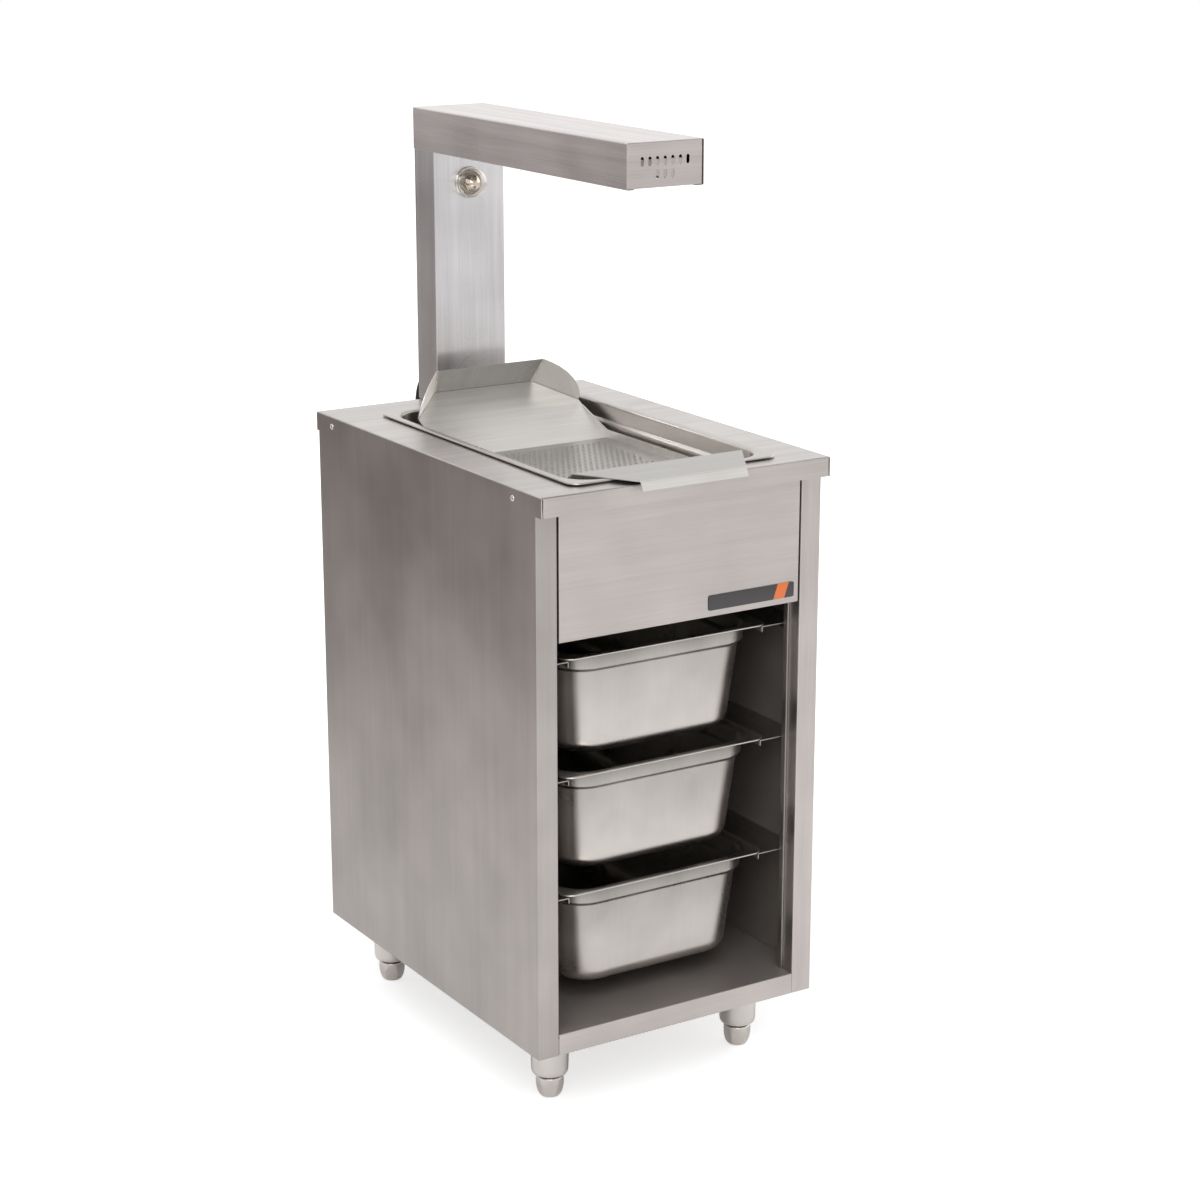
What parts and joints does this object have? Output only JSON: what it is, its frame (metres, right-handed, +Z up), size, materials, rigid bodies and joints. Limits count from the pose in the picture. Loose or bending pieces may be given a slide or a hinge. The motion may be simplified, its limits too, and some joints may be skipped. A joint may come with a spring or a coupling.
{
  "type": "french fry dump station",
  "caption": "Stainless cabinet with a dump chute over a top pan, storage pans on runners below, and a heated, lit gantry above; on adjustable feet, with a mains lead.",
  "frame": {"origin": "on the floor, under the middle of the box round the station without its mains lead", "axes": "+X to the user's right, +Y from the user's side to the back, +Z up"},
  "size_m": [0.4554, 0.784, 1.3],
  "materials": {
    "brushed_sheet": "brushed stainless sheet",
    "panel_sheet": "brushed stainless sheet",
    "pan_steel": "satin drawn stainless",
    "rail_steel": "mill finish stainless",
    "foot_steel": "satin turned",
    "screw_steel": "plain",
    "bright_steel": "mirror bright",
    "element_sheath": "heat-darkened matt",
    "holder_ceramic": "matt",
    "lamp_glass": "clear",
    "black_plastic": "moulded",
    "lead_sheath": "moulded",
    "badge_plate": "printed"
  },
  "bodies": {
    "cabinet": {"worktop": "brushed_sheet", "right_side_panel": "panel_sheet", "left_side_panel": "panel_sheet", "back_panel": "panel_sheet", "bottom_shelf": "panel_sheet", "front_fascia": "brushed_sheet", "front_channel": "rail_steel", "rear_channel": "rail_steel", "badge_plate": "badge_plate", "apron_screw_right_front": "screw_steel", "apron_screw_left_front": "screw_steel", "apron_screw_right_rear": "screw_steel", "apron_screw_left_rear": "screw_steel", "foot_socket_front_left": "foot_steel", "foot_socket_front_right": "foot_steel", "foot_socket_rear_left": "foot_steel", "foot_socket_rear_right": "foot_steel", "pan_runner_right_1": "rail_steel", "pan_runner_left_1": "rail_steel", "pan_runner_right_2": "rail_steel", "pan_runner_left_2": "rail_steel", "pan_runner_right_3": "rail_steel", "pan_runner_left_3": "rail_steel", "column_shell": "brushed_sheet", "column_back_cover": "panel_sheet", "column_base": "rail_steel", "hood_shell": "brushed_sheet", "hood_end_cap": "brushed_sheet", "hood_reflector": "bright_steel", "heater_element": "element_sheath", "element_holder_front": "holder_ceramic", "element_holder_rear": "holder_ceramic", "lamp_bezel": "bright_steel", "lamp_globe": "lamp_glass", "lamp_bulb": "lamp_glass", "lamp_holder": "holder_ceramic", "switch_housing": "black_plastic", "terminal_block": "holder_ceramic", "strain_relief": "black_plastic", "cord_drop": "lead_sheath", "cord_coil": "lead_sheath", "cord_tail": "lead_sheath", "plug": "black_plastic"},
    "foot_front_left": {"foot_bullet_front_left": "foot_steel"},
    "foot_front_right": {"foot_bullet_front_right": "foot_steel"},
    "foot_rear_left": {"foot_bullet_rear_left": "foot_steel"},
    "foot_rear_right": {"foot_bullet_rear_right": "foot_steel"},
    "upper_pan": {"storage_pan_1": "pan_steel"},
    "middle_pan": {"storage_pan_2": "pan_steel"},
    "lower_pan": {"storage_pan_3": "pan_steel"},
    "dump_pan": {"top_pan": "pan_steel"},
    "dump_chute": {"chute_floor": "brushed_sheet", "chute_back_wall": "brushed_sheet", "chute_cheek_right": "brushed_sheet", "chute_cheek_left": "brushed_sheet"},
    "rocker": {"rocker_button": "black_plastic"}
  },
  "joints": [
    {"name": "foot_height_front_left", "type": "slide", "parent": "cabinet", "child": "foot_front_left", "axis": [0, 0, -1], "range_m": [0, 0.02]},
    {"name": "foot_height_front_right", "type": "slide", "parent": "cabinet", "child": "foot_front_right", "axis": [0, 0, -1], "range_m": [0, 0.02]},
    {"name": "foot_height_rear_left", "type": "slide", "parent": "cabinet", "child": "foot_rear_left", "axis": [0, 0, -1], "range_m": [0, 0.02]},
    {"name": "foot_height_rear_right", "type": "slide", "parent": "cabinet", "child": "foot_rear_right", "axis": [0, 0, -1], "range_m": [0, 0.02]},
    {"name": "upper_pan_draw", "type": "slide", "parent": "cabinet", "child": "upper_pan", "axis": [0, -1, 0], "range_m": [0, 0.5]},
    {"name": "middle_pan_draw", "type": "slide", "parent": "cabinet", "child": "middle_pan", "axis": [0, -1, 0], "range_m": [0, 0.5]},
    {"name": "lower_pan_draw", "type": "slide", "parent": "cabinet", "child": "lower_pan", "axis": [0, -1, 0], "range_m": [0, 0.5]},
    {"name": "dump_pan_lift", "type": "slide", "parent": "cabinet", "child": "dump_pan", "axis": [0, 0, 1], "range_m": [0, 0.17]},
    {"name": "chute_lift", "type": "slide", "parent": "dump_pan", "child": "dump_chute", "axis": [0, 0, 1], "range_m": [0, 0.1]},
    {"name": "rocker_tilt", "type": "hinge", "parent": "cabinet", "child": "rocker", "pos_m": [0.052, 0.294, 1], "axis": [0, 1, 0], "range_deg": [0, 16]}
  ]
}
